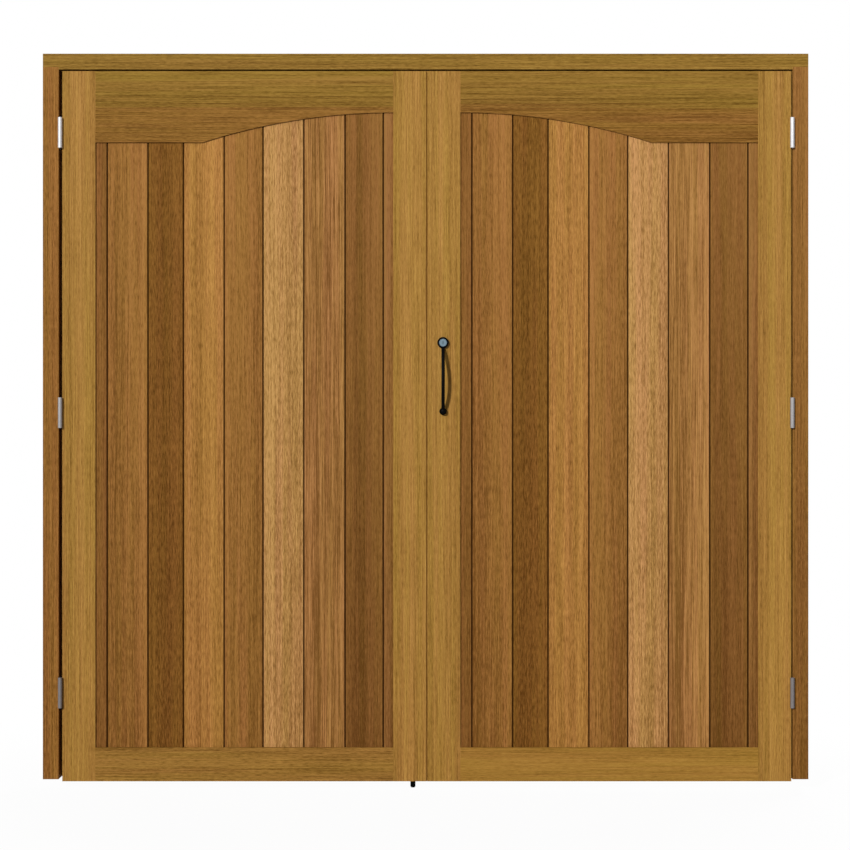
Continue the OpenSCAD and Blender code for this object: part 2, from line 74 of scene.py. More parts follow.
# Directions: the run of a timber in x and z, and the way that screws on the inside face
UPRIGHT = (0, 1)
LEVEL = (1, 0)
INSIDE = (0, 1, 0)

# Repeats of the grain's patterns in a metre, across and along the timber
DRIFT = (5.0, 0.9)
BROAD = (26.0, 0.2)
STREAK = (130.0, 0.7)
FIBRE = (560.0, 5.0)
DASH = (560.0, 50.0)
CLOUD = (7.0, 2.4)
WARM = (40.0, 0.9)

# Repeats of the other finishes' patterns in a metre, along x, y and z
SCRATCHES = (900.0, 900.0, 60.0)
DULLING = (60.0, 60.0, 40.0)
CASTING = (260.0, 260.0, 260.0)
PATCHES = (40.0, 40.0, 40.0)
SATIN = (120.0, 120.0, 120.0)
BLOOM = (200.0, 200.0, 30.0)
TURNED_RINGS = 1800.0
TURNED_DEPTH = 300.0

# How strongly each pattern lightens or darkens the timber
BROAD_WEIGHT = 0.4
CLOUD_WEIGHT = 0.07
STREAK_WEIGHT = 0.65
FIBRE_WEIGHT = 1.6
STRIPE_NARROWNESS = 4.0
FLECK_RANGE = (0.56, 0.76)  # part of the short grain that shows as dark flecks
FLECK_STRENGTH = 0.12
# The next strength darkens the chamfers of the boards' V-joints: painted shade in the grooves
GROOVE_SHADE_STRENGTH = 0.92

# Shares of a timber's own red, green and blue
DARK_GRAIN = (0.5, 0.45, 0.34)
LIGHT_GRAIN = (1.46, 1.54, 1.8)
FLECK_TINT = (0.42, 0.36, 0.25)
# The next tint is painted shade, the near black of the boards' V-joint grooves
GROOVE_SHADE_TINT = (0.09, 0.06, 0.04)
COOL_TINT = (0.98, 1.02, 0.93, 1.0)
WARM_TINT = (1.025, 0.98, 1.07, 1.0)

# Lengths in the timber, in metres
WANDER = 0.008  # how far the grain drifts sideways
RAIL_SPLIT = 1.97  # height at which the top rails change tone
SPLIT_SOFTNESS = 0.012
SPLIT_RAGGED = 0.06
# Depths of the painted shade in the boards' V-joints
GROOVE_SHADE_FRONT = 0.0003  # depth below a board's face at which the painted shade in its V-joint begins
GROOVE_SHADE_BACK = 0.011
GROOVE_SHADE_FADE_IN = 0.0016
GROOVE_SHADE_FADE_OUT = 0.004

# Seeds, which keep one timber's figure from repeating another's
FRAME_SEEDS = {"head": 3.1, "left_jamb": 11.7, "right_jamb": 19.3}
LEAF_SEEDS = {"left": 31.0, "right": 48.0}
BOARD_SEEDS = {"left": 0.0, "right": 71.0}
BOARD_SEED_STEP = 7.3

# Painted reflection: the hinges are painted darker towards the ground, to these shares of their full
# colour at the lowest hinge, falling along the curve below
LOW_REFLECTION_SHARES = (0.26, 0.235, 0.225)
REFLECTION_FALL_CURVE = 1.74

# Screw heads, in shares of a head's radius or height
HEAD_CORNERS = 16
HEAD_ROUNDING = 0.4
CROSS_LENGTH = 1.25
CROSS_WIDTH = 0.26
CROSS_DEPTH = 0.9

# Places of the screws, in metres from the edges of flaps and plates
FLAP_ROWS = (0.12, 0.37, 0.63, 0.88)  # shares of a flap's height
FLAP_SETBACKS = (0.024, 0.010)  # taken in turn, from the flap's back edge
KNUCKLE_BACK = 0.02  # depth past which a flap is flat
GUIDE_PLATE = 0.003
GUIDE_INSET = 0.007
GUIDE_ROW = 0.05
TOP_GUIDE_END = 0.01
BOTTOM_GUIDE_END = 0.012
CORNER_INSET = 0.009

# Turns of the screws' crosses, in radians
FLAP_TURN = 0.5  # from one row to the next
GUIDE_TURN = 1.0
GUIDE_END_TURN = 0.4
KEEP_TURN = 0.7
CASE_TURN = 0.3

# Edges that meet at more than these angles are rounded or stay sharp, in degrees
BEVEL_ANGLE = 30
STRIP_SHARP_ANGLE = 35
SCREW_SHARP_ANGLE = 25

# The seal's lip, in metres, and its thickness as a share of the strip's
LIP_PRESS = 0.00001
LIP_THICKNESS = 0.4
LIP_ROUNDING = 0.00012

# The studio, in metres
FLOOR_SIZE = 60.0
FLOOR_GAP = 0.001
FLOOR_TONE = (0.74, 0.74, 0.74, 1.0)
FLOOR_WHITE = 0.96  # how white the floor is beside the doors, where their shadow shows
FADE_START, FADE_END = 0.9, 2.0  # from the middle, where the shadow fades out
CAMERA_SIDE = -0.0018  # off the middle of the doors
CAMERA_REACH = 200.0
SENSOR = 36.0  # millimetres


class Grain(NamedTuple):
    """What sets one timber's figure apart from the next."""

    lean: float = 0.0  # lighter from its first edge to its second
    stripe: tuple = (0.5, 0.0)  # place and strength of one lighter or darker stripe
    long: float = 1.0  # strength of the long grain
    short: float = 1.5  # strength of the short grain
    rise: float = 0.1  # painted light: lighter from its foot to its top, as if more light fell on the top


GRAINS = {
    "head": Grain(long=1.4, short=1.8),
    "left_jamb": Grain(lean=0.2, long=1.4, short=1.8, rise=0.22),
    "right_jamb": Grain(lean=-0.05, stripe=(0.55, -0.08), long=1.4, short=1.8, rise=0.55),
    "hinge_stile": Grain(stripe=(0.5, 0.12), long=1.2, short=1.4),
    "meeting_stile": Grain(stripe=(0.45, 0.12), long=1.2, short=1.4),
    "top_rail": Grain(lean=-0.12, stripe=(0.12, 0.14), long=1.7, short=1.9),
    "left_bottom_rail": Grain(stripe=(0.55, 0.08), long=1.6, short=2.1),
    "right_bottom_rail": Grain(stripe=(0.55, 0.08), long=1.0, short=1.2),
    "ledge": Grain(long=1.2, short=1.6),
    "brace": Grain(),
    "board_1": Grain(lean=-0.06, rise=0.2),
    "board_2": Grain(lean=0.3, stripe=(0.3, -0.04), long=1.1, short=1.8, rise=0.3),
    "board_3": Grain(stripe=(0.42, -0.12), long=0.8, short=2.5, rise=0.15),
    "board_4": Grain(lean=0.1, stripe=(0.42, -0.08), long=0.9, short=1.7, rise=0.2),
    "board_5": Grain(lean=-0.26, stripe=(0.4, 0.06), long=1.1, short=1.8, rise=0.3),
    "board_6": Grain(lean=-0.1, stripe=(0.1, 0.1), long=1.0, short=2.3, rise=0.22),
    "board_7": Grain(lean=0.16, stripe=(0.28, -0.12), long=1.8, short=1.2, rise=0.25),
    "board_8": Grain(lean=0.1, stripe=(0.36, -0.14), long=0.8, short=1.4, rise=0.4),
    "board_9": Grain(lean=-0.3, stripe=(0.2, 0.08), long=1.1, short=1.5, rise=0.5),
}


def linear(colour):
    """Turns a colour as a screen shows it, 0 to 1 a channel, into linear light."""
    return tuple(c / 12.92 if c <= 0.04045 else ((c + 0.055) / 1.055) ** 2.4 for c in colour)


def tinted(colour, red, green, blue):
    """A linear colour with its channels scaled, as a socket takes it."""
    return (colour[0] * red, colour[1] * green, colour[2] * blue, 1.0)


# Shader expressions


class Value:
    """A socket that takes part in Python expressions."""

    def __init__(self, graph, socket):
        self.graph = graph
        self.socket = socket

    def math(self, operation, first, second, clamp=False):
        settings = {"operation": operation, "use_clamp": clamp}
        return self.graph.add("ShaderNodeMath", settings, {0: first, 1: second})

    def __add__(self, other):
        return self.math("ADD", self, other)

    __radd__ = __add__

    def __mul__(self, other):
        return self.math("MULTIPLY", self, other)

    __rmul__ = __mul__

    def __sub__(self, other):
        return self.math("SUBTRACT", self, other)

    def __rsub__(self, other):
        return self.math("SUBTRACT", other, self)

    def __truediv__(self, other):
        return self.math("DIVIDE", self, other)

    def __pow__(self, other):
        return self.math("POWER", self, other)

    def clamped(self):
        return self.math("ADD", self, 0.0, clamp=True)

    def step(self, low, high):
        """Rises smoothly from 0 at low to 1 at high."""
        return self.graph.add(
            "ShaderNodeMapRange",
            {"interpolation_type": "SMOOTHSTEP"},
            {"Value": self, "From Min": low, "From Max": high},
            out="Result",
        )


class Graph:
    """The node tree of a material or the world, and the one way to add a node to it."""

    def __init__(self, owner):
        owner.use_nodes = True
        self.tree = owner.node_tree
        self.tree.nodes.clear()

    def add(self, kind, settings=None, inputs=None, out=0):
        """Adds a node: its settings first, then the values or links of its sockets."""
        node = self.tree.nodes.new(kind)
        for key, value in (settings or {}).items():
            if key == "stops":
                self.set_stops(node.color_ramp, value)
            else:
                setattr(node, key, value)
        for key, value in (inputs or {}).items():
            if isinstance(value, Value):
                self.tree.links.new(value.socket, node.inputs[key])
            else:
                node.inputs[key].default_value = value
        return Value(self, node.outputs[out]) if node.outputs else None

    def set_stops(self, ramp, stops):
        while len(ramp.elements) < len(stops):
            ramp.elements.new(1.0)
        for element, (place, colour) in zip(ramp.elements, stops):
            element.position = place
            element.color = colour

    def seen(self):
        """1 for what the camera sees, also in metal and through glass, and 0 for other light."""
        rays = ("Is Camera Ray", "Is Glossy Ray", "Is Transmission Ray")
        camera, glossy, through = (self.add("ShaderNodeLightPath", out=ray) for ray in rays)
        return (camera + glossy + through).clamped()


class Finish(Graph):
    """One procedural material, with its patterns in the piece's own coordinates."""

    def __init__(self, name):
        self.material = bpy.data.materials.new(name)
        super().__init__(self.material)

    def spot(self):
        return self.add("ShaderNodeTexCoord", out="Object")

    def place(self):
        """The x, y and z of a point on the piece, in metres."""
        spot = self.spot()
        return [self.add("ShaderNodeSeparateXYZ", None, {0: spot}, out=axis) for axis in range(3)]

    def vector(self, x, y, z):
        return self.add("ShaderNodeCombineXYZ", None, {0: x, 1: y, 2: z})

    def noise(self, spot, detail=2.0, rough=0.5):
        return self.add(
            "ShaderNodeTexNoise",
            {"noise_dimensions": "3D"},
            {"Vector": spot, "Scale": 1.0, "Detail": detail, "Roughness": rough},
        )

    def speckle(self, repeats, detail=2.0, rough=0.5):
        """Noise with so many repeats in a metre along x, y and z."""
        sockets = {0: self.spot(), 1: repeats}
        scaled = self.add("ShaderNodeVectorMath", {"operation": "MULTIPLY"}, sockets)
        return self.noise(scaled, detail, rough)

    def mix(self, factor, first, second, blend="MIX"):
        settings = {"data_type": "RGBA", "blend_type": blend}
        return self.add("ShaderNodeMix", settings, {0: factor, 6: first, 7: second}, out=2)

    def bump(self, height, strength, distance):
        sockets = {"Height": height, "Strength": strength, "Distance": distance}
        return self.add("ShaderNodeBump", None, sockets, out="Normal")

    def shader(self, sockets):
        return self.add("ShaderNodeBsdfPrincipled", None, sockets, out="BSDF")

    def done(self, shader):
        """Puts a shader on the surface and hands over the material."""
        self.add("ShaderNodeOutputMaterial", None, {"Surface": shader})
        return self.material


# Finishes


def timber(node, tone, run, seed, grain, split=None, joint=None):
    """Oiled timber for one node, whose grain follows run, a unit vector in x and z.

    split is a height and the tone below it, and the last argument the depths between which the
    V-joints' chamfers are painted dark, as painted shade in the grooves.
    """
    finish = Finish(f"{node}_timber")
    x, y, z = finish.place()
    along = x * run[0] + z * run[1]
    across = x * run[1] - z * run[0]
    low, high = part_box(node)
    edges = [px * run[1] - pz * run[0] for px in (low[0], high[0]) for pz in (low[2], high[2])]
    share = (across - min(edges)) / (max(edges) - min(edges))

    def pattern(line, repeats, shift, detail=2.0, rough=0.5):
        fine, coarse = repeats
        spot = finish.vector(line * fine + shift[0], y * fine, along * coarse + shift[1])
        return finish.noise(spot, detail, rough)

    drift = pattern(across, DRIFT, (seed, 0.0), 1.0)
    line = across + (drift - 0.5) * WANDER
    broad = pattern(line, BROAD, (seed, seed))
    streak = pattern(line, STREAK, (seed, seed), 2.0, 0.6)
    fibre = pattern(line, FIBRE, (0.0, seed), 3.0, 0.7)
    dash = pattern(line, DASH, (seed, 0.0), 3.0, 0.65)
    cloud = pattern(across, CLOUD, (seed, 0.0))
    warm = pattern(line, WARM, (0.0, seed * 1.7))
    fleck = dash.step(*FLECK_RANGE)

    # How light the timber is: 0.5 is its own tone
    level = 0.5 + (broad - 0.5) * BROAD_WEIGHT + (cloud - 0.5) * CLOUD_WEIGHT
    lines = (streak - 0.5) * STREAK_WEIGHT + (fibre - 0.5) * FIBRE_WEIGHT
    level = level + lines * grain.long + (0.5 - dash) * grain.short + (share - 0.5) * grain.lean
    stripe_place, stripe_strength = grain.stripe
    stripe = 1.0 - ((share - stripe_place) * STRIPE_NARROWNESS) ** 2.0
    level = level + stripe.clamped() * stripe_strength
    # Painted light: an upright is painted lighter towards its top, as if more light fell there
    if run[1]:
        level = level + ((z - low[2]) / (high[2] - low[2]) - 0.5) * grain.rise

    base = linear(tone)
    stops = [
        (0.05, tinted(base, *DARK_GRAIN)),
        (0.5, (*base, 1.0)),
        (0.95, tinted(base, *LIGHT_GRAIN)),
    ]
    ramp = {"stops": stops}
    colour = finish.add("ShaderNodeValToRGB", ramp, {"Fac": level.clamped()}, out="Color")
    tint = finish.mix(warm.step(0.3, 0.7), COOL_TINT, WARM_TINT)
    colour = finish.mix(1.0, colour, tint, "MULTIPLY")
    if split:
        height, second = split
        edge = z + (streak - 0.5) * SPLIT_RAGGED
        below = 1.0 - edge.step(height - SPLIT_SOFTNESS, height + SPLIT_SOFTNESS)
        change = [b / a for a, b in zip(base, linear(second))]
        shade = finish.mix(below, WHITE, (*change, 1.0))
        colour = finish.mix(1.0, colour, shade, "MULTIPLY")
    colour = finish.mix(fleck * FLECK_STRENGTH, colour, tinted(base, *FLECK_TINT))
    # Painted shade: the V-joints' chamfers are darkened from just below the face to the back of the
    # groove
    if joint:
        front, back = joint
        behind = y.step(back - GROOVE_SHADE_FADE_OUT, back)
        depth = y.step(front, front + GROOVE_SHADE_FADE_IN) * (1.0 - behind)
        colour = finish.mix(depth * GROOVE_SHADE_STRENGTH, colour, tinted(base, *GROOVE_SHADE_TINT))
    oiled = {
        "Base Color": colour,
        "Roughness": 0.6 + (fibre - 0.5) * 0.3 + fleck * 0.1,
        "Specular IOR Level": 0.03,
        "Normal": finish.bump(fibre * 0.6 + streak * 0.3 - fleck * 0.7, 0.4, 0.0006),
    }
    return finish.done(finish.shader(oiled))


def bright_steel(name, colour, low, high):
    """Plated steel with fine upright scratches, painted darker towards the ground as painted
    reflection: full colour at the height high, darkest at low.
    """
    finish = Finish(name)
    z = finish.place()[2]
    scratch = finish.speckle(SCRATCHES, 3.0)
    dull = finish.speckle(DULLING, 3.0)
    base = linear(colour)
    # Painted reflection: darker towards the ground, full colour at high and darkest at low
    reflection_height = ((z - low) / (high - low)).clamped() ** REFLECTION_FALL_CURVE
    reflected_tone = finish.mix(reflection_height, tinted(base, *LOW_REFLECTION_SHARES), (*base, 1.0))
    dark, light = (0.92, 0.92, 0.93, 1.0), (1.05, 1.05, 1.04, 1.0)
    cloudy = finish.mix(dull, dark, light)
    plated = {
        "Base Color": finish.mix(1.0, reflected_tone, cloudy, "MULTIPLY"),
        "Roughness": 0.42 + (dull - 0.5) * 0.15 + (scratch - 0.5) * 0.2,
        "Metallic": 0.3,
        "Specular IOR Level": 0.2,
        "Normal": finish.bump(scratch, 0.12, 0.0002),
    }
    return finish.done(finish.shader(plated))


def black_paint(name, colour):
    """Black paint on iron, with a soft cast texture and slightly worn gloss."""
    finish = Finish(name)
    cast = finish.speckle(CASTING, 3.0, 0.6)
    patch = finish.speckle(PATCHES)
    base = linear(colour)
    worn = (patch * 1.6 - 0.4).clamped()
    dark, light = tinted(base, 0.8, 0.8, 0.8), tinted(base, 1.6, 1.55, 1.5)
    painted = {
        "Base Color": finish.mix(worn, dark, light),
        "Roughness": 0.46 + (patch - 0.5) * 0.3,
        "Specular IOR Level": 0.035,
        "Normal": finish.bump(cast, 0.2, 0.0004),
    }
    return finish.done(finish.shader(painted))


def satin_steel(name, colour, centre):
    """Satin blue-grey steel, turned about an axis through centre."""
    finish = Finish(name)
    x, y, z = finish.place()
    radius = ((x - centre[0]) ** 2.0 + (z - centre[2]) ** 2.0) ** 0.5
    rings = finish.noise(finish.vector(radius * TURNED_RINGS, y * TURNED_DEPTH, 0.5))
    cloud = finish.speckle(SATIN)
    base = linear(colour)
    dark, light = tinted(base, 0.85, 0.86, 0.88), tinted(base, 1.12, 1.12, 1.1)
    turned = {
        "Base Color": finish.mix(cloud, dark, light),
        "Roughness": 0.38 + (rings - 0.5) * 0.3,
        "Metallic": 0.35,
        "Normal": finish.bump(rings, 0.1, 0.0002),
    }
    return finish.done(finish.shader(turned))


def brown_rubber(name, colour):
    """Matt brown sealing strip with a dusty bloom."""
    finish = Finish(name)
    bloom = finish.speckle(BLOOM, 3.0)
    base = linear(colour)
    dark, light = tinted(base, 0.75, 0.75, 0.75), tinted(base, 1.3, 1.28, 1.25)
    dusty = {
        "Base Color": finish.mix(bloom, dark, light),
        "Roughness": 0.75 + (bloom - 0.5) * 0.2,
        "Specular IOR Level": 0.1,
        "Normal": finish.bump(bloom, 0.15, 0.0003),
    }
    return finish.done(finish.shader(dusty))


def dress(node, material):
    """Gives a part of the frame its finish."""
    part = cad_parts[node]
    part.data.materials.clear()
    part.data.materials.append(material)


# Modelling


def free_hands():
    """Leaves edit mode and deselects everything."""
    if bpy.context.object and bpy.context.object.mode != "OBJECT":
        bpy.ops.object.mode_set(mode="OBJECT")
    bpy.ops.object.select_all(action="DESELECT")


def take(piece):
    """Selects one piece alone and makes it the active one."""
    free_hands()
    piece.select_set(True)
    bpy.context.view_layer.objects.active = piece


def pick(piece, test):
    """Selects the faces that pass a test, in edit mode."""
    bpy.ops.mesh.select_mode(type="FACE")
    bpy.ops.mesh.select_all(action="DESELECT")
    bpy.ops.object.mode_set(mode="OBJECT")
    for face in piece.data.polygons:
        face.select = test(face)
    bpy.ops.object.mode_set(mode="EDIT")


def round_edges(piece, width, steps):
    """Rounds the sharp edges of a piece with an applied bevel."""
    take(piece)
    bevel = piece.modifiers.new("Round", "BEVEL")
    bevel.width = width
    bevel.segments = steps
    bevel.limit_method = "ANGLE"
    bevel.angle_limit = math.radians(BEVEL_ANGLE)
    bpy.ops.object.modifier_apply(modifier=bevel.name)
    bpy.ops.object.shade_smooth_by_angle(angle=math.radians(STRIP_SHARP_ANGLE))


def screw_head(radius, height):
    """Models one screw head at the origin, facing +z, with a cross cut in it."""
    free_hands()
    bpy.ops.mesh.primitive_cylinder_add(
        vertices=HEAD_CORNERS, radius=radius, depth=height, location=(0, 0, height / 2)
    )
    head = bpy.context.object
    bpy.ops.object.mode_set(mode="EDIT")
    bpy.ops.mesh.select_all(action="SELECT")
    bpy.ops.mesh.bevel(offset=height * HEAD_ROUNDING, segments=2)
    bpy.ops.object.mode_set(mode="OBJECT")
    length, width = radius * CROSS_LENGTH, radius * CROSS_WIDTH
    for arm in ((length, width), (width, length)):
        free_hands()
        bpy.ops.mesh.primitive_cube_add(size=1.0, location=(0, 0, height))
        cutter = bpy.context.object
        cutter.scale = (*arm, height * CROSS_DEPTH)
        bpy.ops.object.transform_apply(location=False, rotation=False, scale=True)
        take(head)
        cut = head.modifiers.new("Cross", "BOOLEAN")
        cut.operation = "DIFFERENCE"
        cut.solver = "EXACT"
        cut.object = cutter
        bpy.ops.object.modifier_apply(modifier=cut.name)
        bpy.data.objects.remove(cutter)
    return head


def set_screws(name, head, places, body, material):
    """Copies a screw head to each place, as one piece.

    A place is a point, the direction that the head faces there and the turn of its cross.
    """
    copies = []
    for number, (point, facing, turn) in enumerate(places):
        copy = bpy.data.objects.new(f"{name}_{number}", head.data.copy())
        bpy.context.collection.objects.link(copy)
        spin = Vector((0, 0, 1)).rotation_difference(Vector(facing)).to_matrix().to_4x4()
        copy.data.transform(Matrix.Translation(point) @ spin @ Matrix.Rotation(turn, 4, "Z"))
        copies.append(copy)
    take(copies[0])
    for copy in copies:
        copy.select_set(True)
    bpy.ops.object.join()
    piece = bpy.context.object
    piece.name = name
    piece.data.name = name
    piece.data.materials.clear()
    piece.data.materials.append(material)
    bpy.ops.object.shade_smooth_by_angle(angle=math.radians(SCREW_SHARP_ANGLE))
    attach(piece, body)


# Settings


def colour_setting(name, description, rgb):
    """A colour as a screen shows it, from 0 to 255 a channel."""
    return bpy.props.FloatVectorProperty(
        name=name,
        description=description,
        default=[c / 255.0 for c in rgb],
        size=3,
        min=0.0,
        max=1.0,
        subtype="COLOR_GAMMA",
    )


def length_setting(name, description, default):
    return bpy.props.FloatProperty(
        name=name, description=description, default=default, unit="LENGTH", subtype="DISTANCE"
    )


def light_setting(name, description, default, unit="NONE"):
    return bpy.props.FloatProperty(
        name=name, description=description, default=default, min=0.0, unit=unit
    )


class GD_TimberSettings(bpy.types.PropertyGroup):
    """Colours of the timber, as they look on the finished doors."""

    stile: colour_setting("Stiles", "Golden brown of the upright stiles", (156, 115, 53))
    head: colour_setting("Head", "Greenish brown of the frame's head", (140, 106, 44))
    left_jamb: colour_setting("Left jamb", "Brown of the left jamb", (141, 96, 43))
    right_jamb: colour_setting("Right jamb", "Brown of the right jamb", (134, 92, 42))
    rail: colour_setting("Top rails", "Greenish brown of the top rails", (132, 99, 39))
    rail_low: colour_setting("Top rails, lower half", "Browner tone beside the arch", (134, 94, 40))
    left_foot: colour_setting("Left bottom rail", "Brown of the left bottom rail", (138, 100, 43))
    right_foot: colour_setting("Right bottom rail", "Brown of the right bottom rail", (149, 110, 46))
    inside: colour_setting("Ledges and braces", "Brown of the timbers on the inside", (150, 107, 50))


class GD_BoardSettings(bpy.types.PropertyGroup):
    """Colours of a leaf's boards, counted from the left as seen from outside."""

    board_1: colour_setting("Board 1", "Brown part board", (129, 86, 40))
    board_2: colour_setting("Board 2", "Mid brown board", (143, 98, 46))
    board_3: colour_setting("Board 3", "Dark brown board", (121, 80, 31))
    board_4: colour_setting("Board 4", "Golden board", (166, 117, 58))
    board_5: colour_setting("Board 5", "Mid brown board", (142, 97, 46))
    board_6: colour_setting("Board 6", "Palest board", (170, 125, 71))
    board_7: colour_setting("Board 7", "Streaky light brown board", (155, 109, 58))
    board_8: colour_setting("Board 8", "Dark brown board", (128, 87, 40))
    board_9: colour_setting("Board 9", "Brown part board", (131, 89, 44))


class GD_MetalSettings(bpy.types.PropertyGroup):
    """Colours of the ironwork and the seal, and the screw sizes."""

    hinge: colour_setting("Hinges", "Bright plated steel of the hinges", (213, 212, 214))
    iron: colour_setting("Black iron", "Paint on handle, bolts and latch", (4, 4, 4))
    lock: colour_setting("Lock", "Blue-grey steel of the lock", (104, 125, 136))
    seal: colour_setting("Seal", "Strip between the leaves", (164, 114, 53))
    hinge_screw: length_setting("Hinge screw", "Radius of a hinge screw's head", 0.0036)
    hinge_screw_height: length_setting("Hinge screw height", "How far it stands proud", 0.0004)
    plate_screw: length_setting("Plate screw", "Radius of a screw head on bolts and latch", 0.0042)
    plate_screw_height: length_setting("Plate screw height", "How far it stands proud", 0.0011)


class GD_StageSettings(bpy.types.PropertyGroup):
    """Camera and light of the studio."""

    distance: length_setting("Camera distance", "From the camera to the front of the doors", 6.0)
    view_width: length_setting("View width", "Width of the picture at the doors' front", 2.4905)
    view_height: length_setting("View height", "Picture's middle above the jamb feet", 1.038)
    key: light_setting("Key light", "Strength of the sun-like key light", 2.85)
    fill: light_setting("Fill light", "Strength of the light from all round", 0.06)
    top: light_setting("Top light", "Power of the soft lamp above", 14.0, "POWER")
    back: light_setting("Back light", "Power of the soft lamp behind the doors", 170.0, "POWER")


# Operators


class GD_OT_frame_timber(bpy.types.Operator):
    """Finishes the head and the two jambs"""

    bl_idname = "garage_door.frame_timber"
    bl_label = "Frame timber"

    def execute(self, context):
        tone = context.scene.gd_timber
        for node, colour, run in (
            ("head", tone.head, LEVEL),
            ("left_jamb", tone.left_jamb, UPRIGHT),
            ("right_jamb", tone.right_jamb, UPRIGHT),
        ):
            dress(node, timber(node, colour, run, FRAME_SEEDS[node], GRAINS[node]))
        return {"FINISHED"}


class GD_OT_leaf_timber(bpy.types.Operator):
    """Finishes the stiles, rails, ledges and braces"""

    bl_idname = "garage_door.leaf_timber"
    bl_label = "Leaf timber"

    def execute(self, context):
        tone = context.scene.gd_timber
        arch = (RAIL_SPLIT, tone.rail_low)
        feet = {"left": tone.left_foot, "right": tone.right_foot}
        for side, seed in LEAF_SEEDS.items():
            for part, colour, run, shift, split in (
                ("hinge_stile", tone.stile, UPRIGHT, 0.0, None),
                ("meeting_stile", tone.stile, UPRIGHT, 2.3, None),
                ("top_rail", tone.rail, LEVEL, 4.6, arch),
                ("bottom_rail", feet[side], LEVEL, 6.9, None),
                ("ledge", tone.inside, LEVEL, 9.2, None),
            ):
                node = f"{side}_{part}"
                grain = GRAINS[node] if node in GRAINS else GRAINS[part]
                dress(node, timber(node, colour, run, seed + shift, grain, split))
            for part, shift in (("upper_brace", 20.0), ("lower_brace", 23.1)):
                node = f"{side}_{part}"
                run = self.brace_run(node, side)
                dress(node, timber(node, tone.inside, run, seed + shift, GRAINS["brace"]))
        return {"FINISHED"}

    def brace_run(self, node, side):
        """The direction of a brace, which rises from the hinges towards the meeting stile."""
        low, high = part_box(node)
        reach, rise = high[0] - low[0], high[2] - low[2]
        length = math.hypot(reach, rise)
        return (reach / length if side == "left" else -reach / length, rise / length)


class GD_OT_board_timber(bpy.types.Operator):
    """Finishes the upright boards, each in its own tone"""

    bl_idname = "garage_door.board_timber"
    bl_label = "Board timber"

    def execute(self, context):
        for side, seed in BOARD_SEEDS.items():
            for number in BOARDS:
                board = f"board_{number}"
                node = f"{side}_{board}"
                tone = getattr(context.scene.gd_boards, board)
                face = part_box(node)[0][1]
                # Depths of the painted shade in this board's V-joints
                joint = (face + GROOVE_SHADE_FRONT, face + GROOVE_SHADE_BACK)
                own_seed = seed + BOARD_SEED_STEP * number
                finish = timber(node, tone, UPRIGHT, own_seed, GRAINS[board], joint=joint)
                dress(node, finish)
        return {"FINISHED"}


class GD_OT_ironwork(bpy.types.Operator):
    """Finishes the hinges, handle, bolts, latch and lock"""

    bl_idname = "garage_door.ironwork"
    bl_label = "Ironwork"

    def execute(self, context):
        metal = context.scene.gd_metal
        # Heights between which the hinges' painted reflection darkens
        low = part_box("left_bottom_jamb_flap")[0][2]
        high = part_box("left_top_jamb_flap")[1][2]
        steel = bright_steel("hinge_steel", metal.hinge, low, high)
        for side in SIDES:
            for hinge in HINGES:
                dress(f"{side}_{hinge}_jamb_flap", steel)
                dress(f"{side}_{hinge}_door_flap", steel)
        dress("hinge_pins", steel)
        iron = black_paint("black_iron", metal.iron)
        for node in (
            "pull_handle",
            "bottom_bolt",
            "bottom_bolt_guide",
            "top_bolt",
            "top_bolt_guide",
            "latch_case",
            "latch_keep",
        ):
            dress(node, iron)
        low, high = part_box("lock_cylinder")
        centre = [(a + b) / 2 for a, b in zip(low, high)]
        lock = satin_steel("lock_steel", metal.lock, centre)
        for node in ("lock_cylinder", "key_plug", "latch_bolt", "latch_knob"):
            dress(node, lock)
        return {"FINISHED"}


class GD_OT_meeting_seal(bpy.types.Operator):
    """Models the sealing strip between the leaves with its soft lip"""

    bl_idname = "garage_door.meeting_seal"
    bl_label = "Meeting seal"

    def execute(self, context):
        low, high = (Vector(corner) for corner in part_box("meeting_seal"))
        other_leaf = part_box("right_meeting_stile")[0][0]
        lip = other_leaf - high.x + LIP_PRESS
        free_hands()
        bpy.ops.mesh.primitive_cube_add(size=1.0, location=(low + high) / 2, scale=high - low)
        seal = context.object
        seal.name = "sealing_strip"
        bpy.ops.object.transform_apply(location=True, rotation=False, scale=True)
        bpy.ops.object.mode_set(mode="EDIT")
        pick(seal, lambda face: face.normal.x > 0.9)
        bpy.ops.mesh.extrude_region_move(TRANSFORM_OT_translate={"value": (lip, 0, 0)})
        bpy.ops.transform.resize(value=(1.0, LIP_THICKNESS, 1.0))
        bpy.ops.mesh.select_all(action="SELECT")
        bpy.ops.mesh.normals_make_consistent(inside=False)
        bpy.ops.object.mode_set(mode="OBJECT")
        round_edges(seal, LIP_ROUNDING, 2)
        seal.data.materials.append(brown_rubber("seal_rubber", context.scene.gd_metal.seal))
        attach(seal, "left_leaf")
        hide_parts("meeting_seal")
        return {"FINISHED"}


